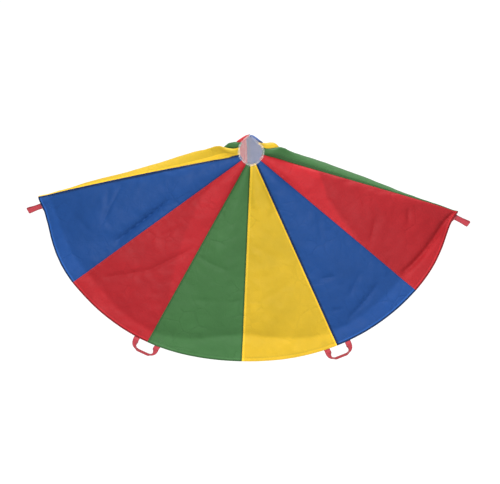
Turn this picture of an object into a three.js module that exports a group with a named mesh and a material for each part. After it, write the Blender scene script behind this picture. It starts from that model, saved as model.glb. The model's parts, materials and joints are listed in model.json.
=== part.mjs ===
// A play parachute, hung up by its vent with its two side handles drawn out: twelve lapped gores
// of thin cloth, a net vent sewn over their inner ends, and six webbing handles on the hem.
// Millimetres, +Z up, the front towards -Y, the origin in the middle of the vent.

import * as THREE from 'three';

const { degToRad, euclideanModulo, lerp, smoothstep } = THREE.MathUtils;

// The hem as it hangs: a long ring whose two side tips are raised and whose front and back droop.
const GORE_COUNT = 12;
const HALF_SPAN = 872; // from the middle of the hem out to a side tip
const HALF_DEPTH = 471; // from the middle of the hem out to its front and back
const TIP_DROP = 258; // side tips below the vent
const SKIRT_DROP = 474; // front and back of the hem below the side tips
const RIDGE_ROUNDING = 94; // how softly the cloth rolls over the ridge between the tips
const SIDE_SHIFT = -19; // the hem's middle from the vent, along X
const RIDGE_TURN = degToRad(-2.3); // the right tip swung a little forward
const FIRST_SEAM = Math.PI; // bearing of the first seam, at the left tip
const SEAM_TRIMS = [-12, 7, 13, 3, 7, 4, 0, 0, 0, 0, 0, 0]; // how much longer each seam hangs than that ring
const TIP_CORNERS = [
  { seam: 0, out: 29, up: 18 },
  { seam: 6, out: 27, up: -3 },
];
const CORNER_REACH = 40; // how far along the hem a tip is drawn to its corner
const CORNER_ROUNDING = 12;
const TIP_FOLD_RADIUS = 12; // the hem folds double over each tip
const TIP_FOLD_REACH = 140; // how far along the hem that fold opens out
const TIP_FOLD_FADE = 4; // how quickly it opens out up the canopy, as a power of the share

// The vent: a round of netting in a steep plane that faces forward and up.
const VENT_RADIUS = 56; // where the gores bend out of the vent's plane
const VENT_TILT = degToRad(60);
const VENT_GATHER = degToRad(15); // how far the seams at its two sides are drawn round to its front
const VENT_LAP = 9; // gore ends carried in under the net
const NET_INSET = 1; // net edge from the bend
const NET_BORDER = 8; // doubled edge of the net
const NET_PITCH = 10.5; // from one gap to the next
const NET_STRAND = 2;
const NET_THICKNESS = 1;

// Cloth, its lapped seams and its turned hem.
const CLOTH = 1;
const GAP = 0.3; // clearance between layers that are sewn together
const SEAM_LAP = 10; // each gore's edge carried under its neighbour
const SEAM_STEP = 2; // run in which the edge dives under
const HEM_WIDTH = 18;
const HEM_FOLD = 1.4; // the turned-in layers under the hem
const HEM_STEP = 2; // run in which the hem gains those layers

// The slack of the cloth: each gore swells between its seams, and a soft fold runs above the hem.
const SWELL = 15;
const RIDGE_SWELLS = new Map([[6, 37], [11, 40]]); // the two back gores that roll over the ridge
const SWELL_RISE = 0.55; // under 1 moves the fullest part towards the vent
const FOLD_DEPTH = 10;
const FOLD_REACH = 105; // from the hem's edge up to the fold
const FOLD_WIDTH = 45;

// Handles: webbing straps sewn under the hem on both sides of every second seam.
const SEAMS_PER_HANDLE = 2;
const STRAP_WIDTH = 25;
const STRAP_THICKNESS = 1.6;
const HANDLE_SPREAD = 92; // from one sewn end to the other, centre to centre
const SEWN_LENGTH = 36; // strap under the cloth
const STRAP_EXIT = 13; // from the hem's edge out to the line that the loop swings on
const SWING_GAP = 0.5; // clearance between a loop and its sewn ends
const LOOP_DEPTH = 45;
const LOOP_DROOP = degToRad(33); // how far a loop hangs down out of the slope of the cloth
const GRIP_LENGTH = 56; // straight outer run of the loop
const CLOSED_LENGTH = 64; // a side handle's loop, which lies closed
const EYE_START = 22; // where its two layers part
const EYE_RADIUS = 5; // inside of the bend at its outer end

// Steps of the curved surfaces.
const HEM_DIVISIONS = 720;
const NUDGE = 0.01; // share of a gore, for slopes
const GORE_COLUMNS = 6;
const UPPER_ROWS = [0, 0.06, 0.18, 0.34, 0.52, 0.7]; // shares of the way from vent to hem
const LEG_STEPS = 8;
const NET_SEGMENTS = 48;
const TIP_ANGLES = [0, 40, 70].map(degToRad); // rounding of a strap's end

const UP = new THREE.Vector3(0, 0, 1);
const ACROSS = new THREE.Vector3(1, 0, 0);
const VENT_NORMAL = UP.clone().applyAxisAngle(ACROSS, VENT_TILT);
const VENT_SEAT = NET_THICKNESS / 2 + GAP + CLOTH / 2; // gore ends behind the vent's plane
const STRAP_LEVEL = -(CLOTH / 2 + HEM_FOLD + GAP + STRAP_THICKNESS / 2);
const CLOSED_ROOT = STRAP_THICKNESS + GAP / 2; // half of a closed loop's thickness at its root

const cloth = (colour) => new THREE.MeshStandardMaterial({ color: colour, roughness: 0.55, metalness: 0 });
const GORE_COLOURS = [
  { name: 'blue', material: cloth('#2f579b') },
  { name: 'red', material: cloth('#bd333b') },
  { name: 'green', material: cloth('#4b7f49') },
  { name: 'yellow', material: cloth('#e6be3c') },
];
const NETTING = new THREE.MeshStandardMaterial({ color: '#ece8ea', roughness: 0.7, metalness: 0 });
const WEBBING = new THREE.MeshStandardMaterial({ color: '#bf3a45', roughness: 0.75, metalness: 0 });

class HemCurve extends THREE.Curve {
  constructor() {
    super();
    this.arcLengthDivisions = HEM_DIVISIONS;
  }

  getPoint(turn, target = new THREE.Vector3()) {
    const bearing = FIRST_SEAM + turn * 2 * Math.PI;
    const rounding = RIDGE_ROUNDING / HALF_DEPTH;
    const droop = Math.hypot(Math.sin(bearing), rounding) - rounding;
    const fullDroop = Math.hypot(1, rounding) - rounding;
    target.x = HALF_SPAN * Math.cos(bearing);
    target.y = HALF_DEPTH * Math.sin(bearing);
    target.z = -TIP_DROP - (SKIRT_DROP * droop) / fullDroop;
    target.applyAxisAngle(UP, RIDGE_TURN);
    target.x += SIDE_SHIFT;
    return target;
  }
}

const hem = new HemCurve();
const GORE_WIDTH = hem.getLength() / GORE_COUNT; // along the hem

// The edges of a sewn strap from its seam, in gores.
const STRAP_EDGES = [HANDLE_SPREAD - STRAP_WIDTH, HANDLE_SPREAD + STRAP_WIDTH].map((both) => both / 2 / GORE_WIDTH);

// Places on the canopy are counted in gores round from the first seam, so seam 3 is at 3, and in
// shares of the way down from the vent, so the hem's edge is at 1.
function hemPoint(gores, foldedShare = 1) {
  const place = euclideanModulo(gores, GORE_COUNT);
  const seam = Math.floor(place);
  const point = hem.getPointAt(place / GORE_COUNT);
  let longer = lerp(SEAM_TRIMS[seam], SEAM_TRIMS[(seam + 1) % GORE_COUNT], smoothstep(place, seam, seam + 1));
  for (const corner of TIP_CORNERS) {
    const apart = Math.abs(place - corner.seam);
    const aside = Math.min(apart, GORE_COUNT - apart) * GORE_WIDTH;
    const pull = Math.exp((CORNER_ROUNDING - Math.hypot(aside, CORNER_ROUNDING)) / CORNER_REACH);
    const tip = hem.getPointAt(corner.seam / GORE_COUNT);
    const folded = foldedShare * Math.exp(-((aside / TIP_FOLD_REACH) ** 2));
    const beside = 2 * TIP_FOLD_RADIUS * Math.atan(Math.tanh(aside / TIP_FOLD_RADIUS / 2));
    const below = TIP_FOLD_RADIUS * Math.log(Math.cosh(aside / TIP_FOLD_RADIUS));
    point.y = lerp(point.y, tip.y + beside * Math.sign(point.y - tip.y), folded);
    point.z = lerp(point.z, tip.z - below, folded) + corner.up * pull;
    longer += corner.out * pull;
  }
  const down = point.clone().sub(ventPoint(gores, 0)).normalize();
  return point.addScaledVector(down, longer);
}

function ventPoint(gores, inset) {
  const turn = (gores / GORE_COUNT) * 2 * Math.PI;
  const angle = FIRST_SEAM + turn + VENT_GATHER * Math.cos(turn);
  const radius = VENT_RADIUS - inset;
  const flat = new THREE.Vector3(radius * Math.cos(angle), radius * Math.sin(angle), -VENT_SEAT);
  return flat.applyAxisAngle(ACROSS, VENT_TILT);
}

function seamLength(gores) {
  return hemPoint(gores).distanceTo(ventPoint(gores, 0));
}

function tautPoint(gores, share) {
  return ventPoint(gores, 0).lerp(hemPoint(gores, Math.min(share, 1) ** TIP_FOLD_FADE), share);
}

function widthOfGore(gores, share) {
  const middle = tautPoint(gores, share);
  const before = middle.distanceTo(tautPoint(gores - NUDGE, share));
  const after = middle.distanceTo(tautPoint(gores + NUDGE, share));
  return (before + after) / (2 * NUDGE);
}

function outwards(gores, share) {
  const down = hemPoint(gores).sub(ventPoint(gores, 0));
  const round = tautPoint(gores + NUDGE, share).sub(tautPoint(gores - NUDGE, share));
  return down.cross(round).normalize();
}

function slack(gores, share) {
  const place = euclideanModulo(gores, GORE_COUNT);
  const across = place - Math.floor(place);
  const fullness = RIDGE_SWELLS.get(Math.floor(place)) ?? SWELL;
  const swell = fullness * 4 * across * (1 - across) * Math.sin(Math.PI * share ** SWELL_RISE);
  const fromFold = ((1 - share) * seamLength(gores) - FOLD_REACH) / FOLD_WIDTH;
  return swell - FOLD_DEPTH * Math.exp(-fromFold * fromFold);
}

function clothPoint(gores, share, level) {
  const lift = slack(gores, share) + level;
  return tautPoint(gores, share).addScaledVector(outwards(gores, share), lift);
}

// A closed sheet from a grid of points: rows run down, columns run round, side 1 is the outer face.
function sheetGeometry(rowCount, columnCount, pointAt) {
  const positions = [];
  for (const side of [1, -1]) {
    for (let row = 0; row < rowCount; row++) {
      for (let column = 0; column < columnCount; column++) {
        positions.push(...pointAt(row, column, side).toArray());
      }
    }
  }
  const outer = (row, column) => row * columnCount + column;
  const inner = (row, column) => rowCount * columnCount + outer(row, column);
  const faces = [];
  const quad = (a, b, c, d) => faces.push(a, b, c, a, c, d);
  const rim = (row, column, nextRow, nextColumn) => {
    const from = [row, column];
    const to = [nextRow, nextColumn];
    quad(outer(...from), outer(...to), inner(...to), inner(...from));
  };
  const lastRow = rowCount - 1;
  const lastColumn = columnCount - 1;
  for (let row = 0; row < lastRow; row++) {
    for (let column = 0; column < lastColumn; column++) {
      const corners = [[row, column], [row + 1, column], [row + 1, column + 1], [row, column + 1]];
      const [a, b, c, d] = corners;
      quad(outer(...a), outer(...b), outer(...c), outer(...d));
      quad(inner(...a), inner(...d), inner(...c), inner(...b));
    }
    rim(row + 1, 0, row, 0);
    rim(row, lastColumn, row + 1, lastColumn);
  }
  for (let column = 0; column < lastColumn; column++) {
    rim(0, column, 0, column + 1);
    rim(lastRow, column + 1, lastRow, column);
  }
  const geometry = new THREE.BufferGeometry();
  geometry.setAttribute('position', new THREE.Float32BufferAttribute(positions, 3));
  geometry.setIndex(faces);
  geometry.computeVertexNormals();
  return geometry;
}

// One gore: a lap in the vent's plane, the bend at the vent, the cloth down to the hem, and along
// its far edge a lap that dives under the next gore.
function goreGeometry(index) {
  const lapRow = { width: () => (2 * Math.PI * (VENT_RADIUS - VENT_LAP)) / GORE_COUNT, fold: 0 };
  lapRow.point = (gores, level) => ventPoint(gores, VENT_LAP).addScaledVector(VENT_NORMAL, level);

  const clothRow = (shareAt, fold) => ({
    width: (gores) => widthOfGore(gores, shareAt(gores)),
    fold,
    point: (gores, level) => clothPoint(gores, shareAt(gores), level),
  });
  const upperRows = UPPER_ROWS.map((share) => clothRow(() => share, 0));
  upperRows[0].point = (gores, level) => {
    const out = outwards(gores, 0);
    const mitre = VENT_NORMAL.clone().add(out).divideScalar(1 + VENT_NORMAL.dot(out));
    return ventPoint(gores, 0).addScaledVector(mitre, level);
  };
  const aboveHem = (reach, fold) => clothRow((gores) => 1 - reach / seamLength(gores), fold);
  const foldRows = [FOLD_REACH + FOLD_WIDTH, FOLD_REACH].map((reach) => aboveHem(reach, 0));
  const strapRows = [
    aboveHem(FOLD_REACH - FOLD_WIDTH, 0),
    aboveHem(HEM_WIDTH + HEM_STEP, 0),
    aboveHem(HEM_WIDTH, HEM_FOLD),
    aboveHem(0, HEM_FOLD),
  ].map((row) => ({ ...row, carriesStraps: true }));
  const rows = [lapRow, ...upperRows, ...foldRows, ...strapRows];

  const lastBodyColumn = GORE_COLUMNS + 1;
  return sheetGeometry(rows.length, lastBodyColumn + 3, (rowIndex, column, side) => {
    const row = rows[rowIndex];
    if (column > lastBodyColumn) {
      const pastSeam = column === lastBodyColumn + 1 ? 0 : SEAM_LAP;
      const dive = CLOTH + row.fold + GAP;
      return row.point(index + 1 + pastSeam / row.width(index + 1), (side * CLOTH) / 2 - dive);
    }
    const start = SEAM_LAP / row.width(index);
    const end = 1 - SEAM_STEP / row.width(index + 1);
    const places = row.carriesStraps ? strapColumns(index, start, end) : evenly(start, end, GORE_COLUMNS);
    const across = column === 0 ? 0 : places[column - 1];
    return row.point(index + across, side > 0 ? CLOTH / 2 : -CLOTH / 2 - row.fold);
  });
}

function evenly(start, end, steps) {
  return Array.from({ length: steps + 1 }, (_, step) => lerp(start, end, step / steps));
}

// Column places on the hem, with a strap's two edges among them, so that the cloth over a sewn
// strap is as flat as the strap is.
function strapColumns(index, start, end) {
  const [near, far] = STRAP_EDGES;
  const handleBefore = index % SEAMS_PER_HANDLE === 0;
  const steps = GORE_COLUMNS - 2;
  return handleBefore
    ? [start, near, ...evenly(far, end, steps)]
    : [...evenly(start, 1 - far, steps), 1 - near, end];
}


// The vent's net: a flat round with a doubled edge and six-sided gaps.
function netGeometry() {
  const netRadius = VENT_RADIUS - NET_INSET;
  const round = new THREE.Shape().absarc(0, 0, netRadius, 0, 2 * Math.PI);
  const rowPitch = NET_PITCH * Math.sin(Math.PI / 3);
  const gapRadius = (NET_PITCH - NET_STRAND) / 2 / Math.cos(Math.PI / 6);
  const reach = Math.ceil(netRadius / rowPitch);
  for (let row = -reach; row <= reach; row++) {
    for (let column = -reach; column <= reach; column++) {
      const x = (column + euclideanModulo(row, 2) / 2) * NET_PITCH;
      const y = row * rowPitch;
      if (Math.hypot(x, y) + gapRadius < netRadius - NET_BORDER) {
        const corners = Array.from({ length: 6 }, (_, corner) => {
          const angle = Math.PI / 6 - (corner * Math.PI) / 3;
          return new THREE.Vector2(x + gapRadius * Math.cos(angle), y + gapRadius * Math.sin(angle));
        });
        round.holes.push(new THREE.Path(corners));
      }
    }
  }
  const settings = { depth: NET_THICKNESS, bevelEnabled: false, curveSegments: NET_SEGMENTS };
  return new THREE.ExtrudeGeometry(round, settings).translate(0, 0, -NET_THICKNESS / 2);
}

const isTip = (seam) => TIP_CORNERS.some((corner) => corner.seam === seam);

// The line that a handle's loop swings on, with x along it, y away from the vent and z out of the
// cloth. It joins the tips of the two sewn ends. At a side tip, where the hem is folded double, the
// ends come together instead, and the line runs across the strap.
function handleFrame(seam) {
  const share = 1 + STRAP_EXIT / seamLength(seam);
  const aside = HANDLE_SPREAD / 2 / GORE_WIDTH;
  const before = clothPoint(seam - aside, share, STRAP_LEVEL);
  const after = clothPoint(seam + aside, share, STRAP_LEVEL);
  const [near, far] = STRAP_EDGES;
  const across = (hand) => hemPoint(seam + hand * near).sub(hemPoint(seam + hand * far));
  const x = isTip(seam) ? across(-1).add(across(1)) : before.clone().sub(after);
  x.normalize();
  const away = hemPoint(seam).sub(ventPoint(seam, 0));
  const z = x.clone().cross(away).normalize();
  const y = z.clone().cross(x);
  return {
    middle: before.clone().add(after).divideScalar(2),
    halfSpread: before.distanceTo(after) / 2,
    basis: new THREE.Matrix4().makeBasis(x, y, z),
  };
}

// A sewn end lies under the hem and runs out to a rounded tip beside the swinging line. The hand
// is 1 for the end past the seam and -1 for the end before it.
function sewnEndGeometry(seam, hand, frame) {
  const [first, second] = STRAP_EDGES.map((edge) => hand * edge).sort((a, b) => a - b);
  const sewnRow = (reach) => (column, side) => {
    const share = 1 - reach / seamLength(seam);
    const level = STRAP_LEVEL + (side * STRAP_THICKNESS) / 2;
    return clothPoint(seam + (column === 0 ? first : second), share, level);
  };
  const tipRow = (angle) => (column, side) => {
    const radius = STRAP_THICKNESS / 2;
    const rise = side * radius * Math.cos(angle);
    const reach = radius * Math.sin(angle) - STRAP_THICKNESS - SWING_GAP;
    const width = (0.5 - column) * STRAP_WIDTH;
    const open = [width - hand * frame.halfSpread, reach, rise];
    const closed = [hand * width, reach - CLOSED_ROOT + radius, hand * (CLOSED_ROOT - radius + rise)];
    const place = new THREE.Vector3(...(isTip(seam) ? closed : open));
    return place.applyMatrix4(frame.basis).add(frame.middle);
  };
  const rows = [SEWN_LENGTH, SEWN_LENGTH / 2, 0].map(sewnRow).concat(TIP_ANGLES.map(tipRow));
  return sheetGeometry(rows.length, 2, (row, column, side) => rows[row](column, side));
}

// The closed loop of a side handle: the strap doubled on itself, with an eye at the outer bend.
function closedLoopGeometry() {
  const bend = EYE_RADIUS + STRAP_THICKNESS;
  const taper = (outline, start, startRadius, endRadius) => {
    const end = CLOSED_LENGTH - bend;
    const lean = Math.acos((startRadius - endRadius) / (end - start));
    outline.absarc(end, 0, endRadius, -lean, lean);
    outline.absarc(start, 0, startRadius, lean, 2 * Math.PI - lean);
    return outline;
  };
  const doubled = taper(new THREE.Shape(), 0, CLOSED_ROOT, bend);
  doubled.holes.push(taper(new THREE.Path(), EYE_START, GAP, EYE_RADIUS));
  const settings = { depth: STRAP_WIDTH, bevelEnabled: false, curveSegments: LEG_STEPS };
  const geometry = new THREE.ExtrudeGeometry(doubled, settings).translate(0, 0, -STRAP_WIDTH / 2);
  return geometry.rotateY(Math.PI / 2).rotateX(Math.PI / 2);
}

// The loop: two legs that leave the hem flat and turn on edge, joined by a straight grip.
function loopGeometry(halfSpread) {
  const radius = STRAP_THICKNESS / 2;
  const inwards = halfSpread - GRIP_LENGTH / 2;
  const tip = TIP_ANGLES.slice(1).reverse().map((angle) => ({
    x: -halfSpread,
    y: -radius * Math.sin(angle),
    heading: Math.PI / 2,
    turn: 0,
    radius: radius * Math.cos(angle),
  }));
  const leg = Array.from({ length: LEG_STEPS + 1 }, (_, step) => {
    const angle = ((step / LEG_STEPS) * Math.PI) / 2;
    return {
      x: -halfSpread + inwards * (1 - Math.cos(angle)),
      y: LOOP_DEPTH * Math.sin(angle),
      heading: Math.atan2(LOOP_DEPTH * Math.cos(angle), inwards * Math.sin(angle)),
      turn: (smoothstep(step, 0, LEG_STEPS) * Math.PI) / 2,
      radius,
    };
  });
  const half = [...tip, ...leg];
  const mirrored = half.map((at) => ({ ...at, x: -at.x, heading: -at.heading })).reverse();
  const path = [...half, ...mirrored];
  return sheetGeometry(path.length, 2, (row, column, side) => {
    const at = path[row];
    const along = new THREE.Vector3(Math.cos(at.heading), Math.sin(at.heading), 0);
    const width = UP.clone().cross(along).multiplyScalar(Math.cos(at.turn));
    width.addScaledVector(UP, Math.sin(at.turn));
    const face = along.cross(width);
    const place = new THREE.Vector3(at.x, at.y, 0);
    place.addScaledVector(width, (column - 0.5) * STRAP_WIDTH);
    return place.addScaledVector(face, side * at.radius);
  });
}

function piece(name, geometry, material) {
  const mesh = new THREE.Mesh(geometry, material);
  mesh.name = name;
  return mesh;
}

const parachute = new THREE.Group();

for (let index = 0; index < GORE_COUNT; index++) {
  const colour = GORE_COLOURS[index % GORE_COLOURS.length];
  parachute.add(piece(`gore_${index + 1}_${colour.name}`, goreGeometry(index), colour.material));
}

const net = piece('vent_net', netGeometry(), NETTING);
net.rotation.x = VENT_TILT;
parachute.add(net);

for (let seam = 0; seam < GORE_COUNT; seam += SEAMS_PER_HANDLE) {
  const frame = handleFrame(seam);
  const name = `handle_${seam / SEAMS_PER_HANDLE + 1}`;
  parachute.add(piece(`${name}_end_before`, sewnEndGeometry(seam, -1, frame), WEBBING));
  parachute.add(piece(`${name}_end_after`, sewnEndGeometry(seam, 1, frame), WEBBING));
  const swing = new THREE.Group();
  swing.position.copy(frame.middle);
  swing.quaternion.setFromRotationMatrix(frame.basis);
  if (!isTip(seam)) swing.rotateX(-LOOP_DROOP);
  const loop = isTip(seam) ? closedLoopGeometry() : loopGeometry(frame.halfSpread);
  swing.add(piece(`${name}_loop`, loop, WEBBING));
  parachute.add(swing);
}

export default parachute;
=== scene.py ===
"""A play parachute hung up by its vent: nylon gores, a net vent, webbing handles and their sewing.

Metres, +Z up, the front towards -Y, the origin in the middle of the vent.
"""

import json
import math
from functools import partial

import bpy
import numpy as np
from bpy.props import FloatProperty, FloatVectorProperty, PointerProperty
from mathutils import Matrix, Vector


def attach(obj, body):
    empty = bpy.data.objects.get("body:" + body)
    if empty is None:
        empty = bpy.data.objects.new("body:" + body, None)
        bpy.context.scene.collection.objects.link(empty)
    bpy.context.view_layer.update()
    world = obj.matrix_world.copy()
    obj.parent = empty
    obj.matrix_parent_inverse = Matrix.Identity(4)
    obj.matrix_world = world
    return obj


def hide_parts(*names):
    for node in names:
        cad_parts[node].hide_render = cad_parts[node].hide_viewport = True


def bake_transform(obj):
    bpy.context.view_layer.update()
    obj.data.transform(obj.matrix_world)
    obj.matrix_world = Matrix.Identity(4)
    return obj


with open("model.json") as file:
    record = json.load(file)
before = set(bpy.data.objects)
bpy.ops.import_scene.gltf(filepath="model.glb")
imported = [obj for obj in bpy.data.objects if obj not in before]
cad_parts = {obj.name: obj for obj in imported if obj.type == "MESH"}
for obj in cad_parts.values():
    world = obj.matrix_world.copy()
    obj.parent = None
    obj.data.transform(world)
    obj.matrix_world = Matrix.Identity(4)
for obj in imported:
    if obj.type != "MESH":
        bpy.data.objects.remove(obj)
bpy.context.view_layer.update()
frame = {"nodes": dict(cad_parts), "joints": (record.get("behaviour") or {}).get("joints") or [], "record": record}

bl_info = {
    "name": "Play Parachute",
    "version": (1, 0, 0),
    "blender": (4, 5, 0),
    "location": "3D View > Sidebar > Parachute",
    "description": "Makes a play parachute of nylon gores with a net vent and webbing handles",
    "category": "Object",
}

MM = 0.001


def linear(hex_colour):
    """An sRGB hex colour as linear red, green and blue."""
    shares = [int(hex_colour[i:i + 2], 16) / 255 for i in (1, 3, 5)]
    return tuple(c / 12.92 if c <= 0.04045 else ((c + 0.055) / 1.055) ** 2.4 for c in shares)


# The hem as it hangs: a long ring whose side tips are raised and whose front and back droop.
GORES = sorted((n for n in frame["nodes"] if n.startswith("gore_")), key=lambda n: int(n.split("_")[1]))
GORE_COUNT = len(GORES)
HALF_SPAN = 872 * MM
HALF_DEPTH = 471 * MM
TIP_DROP = 258 * MM
SKIRT_DROP = 474 * MM
RIDGE_ROUNDING = 94 * MM
SIDE_SHIFT = -19 * MM
RIDGE_TURN = math.radians(-2.3)
FIRST_SEAM = math.pi
SEAM_TRIMS = tuple(x * MM for x in (-12, 7, 13, 3, 7, 4, 0, 0, 0, 0, 0, 0))  # added to each seam's length
TIP_CORNERS = ((0, 29 * MM, 18 * MM), (6, 27 * MM, -3 * MM))  # seam, how far drawn out and up
CORNER_REACH = 40 * MM
CORNER_ROUNDING = 12 * MM
TIP_FOLD_RADIUS = 12 * MM  # the hem folds double over each tip
TIP_FOLD_REACH = 140 * MM
TIP_FOLD_FADE = 4
HEM_DIVISIONS = 2400
NUDGE = 0.01  # share of a gore, for slopes

# The vent's rim lies in a steep plane. Its top is drawn up into a small peak.
VENT_RADIUS = 56 * MM
VENT_TILT = math.radians(60)
VENT_GATHER = math.radians(15)  # how far the seams at its two sides are drawn round to its front
VENT_LAP = 9 * MM  # gore ends carried in under the net
VENT_SEAT = 1.3 * MM  # gore ends behind the net's plane
PULLED_SEAMS = (1, 2, 3, 4, 5, 7, 8, 9, 10, 11)
PULLS_ACROSS = tuple(x * MM for x in (0, 0, -3, 0, 0, 0, 0, -8, -8, 0))
PULLS_UP = tuple(x * MM for x in (0, -3, -7, -4, 0, 0, -6, 16, -5, 0))

# How far above the hem's edge the soft fold runs at each seam, and how deep it is.
FOLD_REACHES = tuple(x * MM for x in (45, 75, 50, 108, 62, 80, 25, 60, 100, 105, 100, 60))
FOLD_DEPTHS = tuple(x * MM for x in (3, 5, 9, 16, 12, 9, 5, 5, 9, 13, 8, 4))
FOLD_WIDTH = 42 * MM
FOLD_ROUNDING = 6 * MM
RIDGE_SWELLS = {6: 37 * MM, 11: 40 * MM}  # the gores that roll over the two ends of the ridge
SWELL_RISE = 0.55

# Where the cloth stands higher: place in gores, share of the way down, height, and reach both ways.
SHOULDERS = (
    (0.0, 0.50, 6 * MM, 0.025, 0.60),
    (6.6, 0.062, 13 * MM, 0.45, 0.05),
    (7.40, 0.06, 28 * MM, 0.6, 0.12),
    (9.0, 0.03, 12 * MM, 1.0, 0.05),
    (10.1, 0.035, 7 * MM, 0.5, 0.06),
    (10.6, 0.06, 14 * MM, 0.6, 0.12),
    (11.5, 0.06, 18 * MM, 0.4, 0.07),
    (11.5, 0.24, 10 * MM, 0.35, 0.16),
    (11.75, 0.58, 11 * MM, 0.22, 0.22),
    (11.9, 0.85, 18 * MM, 0.08, 0.3),
)

# Creases and sharper folds: gore and share of its length at both ends, depth in mm (below 0 stands
# proud) and width in mm.
CREASES = (
    (0.15, 0.660, 0.55, 0.710, 3.8, 14),
    (0.30, 0.860, 0.60, 0.800, 3.0, 12),
    (1.28, 0.540, 1.40, 0.430, 3.8, 12),
    (1.55, 0.920, 1.75, 0.800, -2.0, 14),
    (2.30, 0.720, 2.70, 0.700, 2.4, 12),
    (3.20, 0.420, 3.60, 0.480, 2.7, 14),
    (3.30, 0.680, 3.75, 0.620, 3.0, 14),
    (4.55, 0.500, 4.75, 0.420, 3.0, 12),
    (5.95, 0.985, 5.50, 0.935, 15.0, 12),
    (5.50, 0.935, 5.06, 0.895, 15.0, 12),
)
SHARP_FOLDS = (
    (0.74, 0.400, 0.88, 0.700, 22.0, 16),
    (0.12, 0.590, 0.58, 0.735, 7.0, 9),
    (1.18, 0.860, 1.52, 0.690, 12.0, 14),
    (1.52, 0.690, 1.85, 0.500, 12.0, 14),
    (2.06, 0.510, 2.66, 0.540, 6.0, 9),
    (4.20, 0.660, 4.37, 0.680, 8.0, 9),
    (4.12, 0.830, 4.24, 0.840, 7.0, 8),
    (4.25, 0.900, 4.76, 0.840, 12.0, 13),
    (4.40, 0.800, 4.70, 0.740, 9.0, 11),
    (5.44, 0.630, 5.14, 0.670, 9.0, 10),
    (5.80, 0.770, 5.62, 0.790, 8.0, 9),
    (5.76, 0.300, 5.36, 0.370, 6.0, 40),
    (5.36, 0.370, 5.06, 0.620, 6.0, 30),
)

# Parts of a gore painted brighter, as painted light coming through from behind: shares, the edge's place in the
# gore there, its brighter side and how much brighter.
PAINTED_LIGHT_PARTS = {
    1: ((0.15, 0.35, 0.6, 0.78), (0.0, 0.45, 0.8, 1.0), 1, 0.13),
    5: ((0.27, 0.3, 0.37, 0.495, 0.69), (1.0, 0.76, 0.36, 0.13, -0.05), -1, 0.27),
}
PAINTED_LIGHT_PARTS |= {gore: ((0.25, 0.35), (1.1, -0.1), -1, 0.35) for gore in (8, 9)}
LIT_EDGE = 20 * MM
LIT_NARROWEST = 0.1  # share of the way down above which that edge gets no softer
# The cloth below the hem's fold is painted this much brighter, a painted light.
HEM_PAINTED_LIGHT = 0.15

# Creases of the gores that face away: least and most of where they start, how far they run, depth and width.
BACK_CREASES_PER_GORE = 5
BACK_CREASE_SEED = 7
BACK_STARTS = (0.15, 0.25), (0.85, 0.9)
BACK_RUNS = (-0.4, -0.22), (0.4, 0.22)
BACK_LIMITS = 0.1, 0.95
BACK_DEPTHS = 1.5, 5
BACK_WIDTHS = 9, 20
CREASE_POWER, SHARP_POWER = 2, 1
CREASE_END = 0.5  # how much shallower a crease is at its ends

CLOTH_CORNER = math.radians(60)  # edges bent more than this stay sharp
STRAP_CORNER = math.radians(70)


def size_property(name, description, millimetres):
    return FloatProperty(name=name, description=description, default=millimetres * MM, unit="LENGTH")


def colour_property(name, hex_colour):
    return FloatVectorProperty(
        name=name, description=f"Colour of the {name.lower()}", default=linear(hex_colour), subtype="COLOR")


class CanopySettings(bpy.types.PropertyGroup):
    """The cloth of the canopy."""

    thickness: size_property("Cloth thickness", "Thickness of one layer of nylon", 0.4)
    seam_lap: size_property("Seam lap", "Edge of each gore carried under its neighbour", 10)
    hem_width: size_property("Hem width", "Edge turned under along the hem", 18)
    hem_roll: size_property("Hem roll", "Half the thickness of the turned hem", 0.8)
    swell: size_property("Swell", "How far a gore stands out between its seams", 15)
    pucker: size_property("Pucker", "Height of the gathers that sewing leaves along seams and hem", 0.9)
    pucker_pitch: size_property("Pucker pitch", "From one gather to the next", 34)
    crumple: size_property("Crumple", "Height of the unevenness all over the cloth", 4.2)
    blue: colour_property("Blue gores", "#27559a")
    red: colour_property("Red gores", "#ba2d34")
    green: colour_property("Green gores", "#4c7d4a")
    yellow: colour_property("Yellow gores", "#dcbd35")


class VentSettings(bpy.types.PropertyGroup):
    """The net in the vent."""

    pitch: size_property("Mesh pitch", "From one gap of the net to the next", 2.6)
    strand: size_property("Strand width", "Width of the net's strands", 0.32)
    thickness: size_property("Net thickness", "Thickness of the net's strands", 0.45)
    dome: size_property("Dome", "How far the middle of the net stands out", 3)
    colour: colour_property("Net", "#f1eef0")


class HandleSettings(bpy.types.PropertyGroup):
    """The webbing handles."""

    width: size_property("Strap width", "Width of the webbing", 25)
    thickness: size_property("Strap thickness", "Thickness of the webbing", 1.6)
    spread: size_property("Spread", "From one sewn end to the other", 92)
    sewn_length: size_property("Sewn length", "Strap under the hem", 36)
    loop_depth: size_property("Loop depth", "From the swinging line out to the grip", 45)
    grip_length: size_property("Grip length", "Straight outer run of the loop", 44)
    closed_length: size_property("Closed length", "Length of a side handle's loop, which lies closed", 64)
    eye_start: size_property("Eye start", "Where the two layers of a closed loop part", 22)
    eye_radius: size_property("Eye radius", "Bend at the outer end of a closed loop", 5.8)
    colour: colour_property("Webbing", "#b02d3b")


class ThreadSettings(bpy.types.PropertyGroup):
    """The sewing thread."""

    pitch: size_property("Stitch pitch", "From one stitch to the next", 3.6)
    length: size_property("Stitch length", "Length of thread that shows in a stitch", 3.0)
    diameter: size_property("Thread diameter", "Diameter of the thread", 0.55)
    seam_rows: size_property("Seam rows", "Distance between the two rows of a seam", 6)


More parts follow.
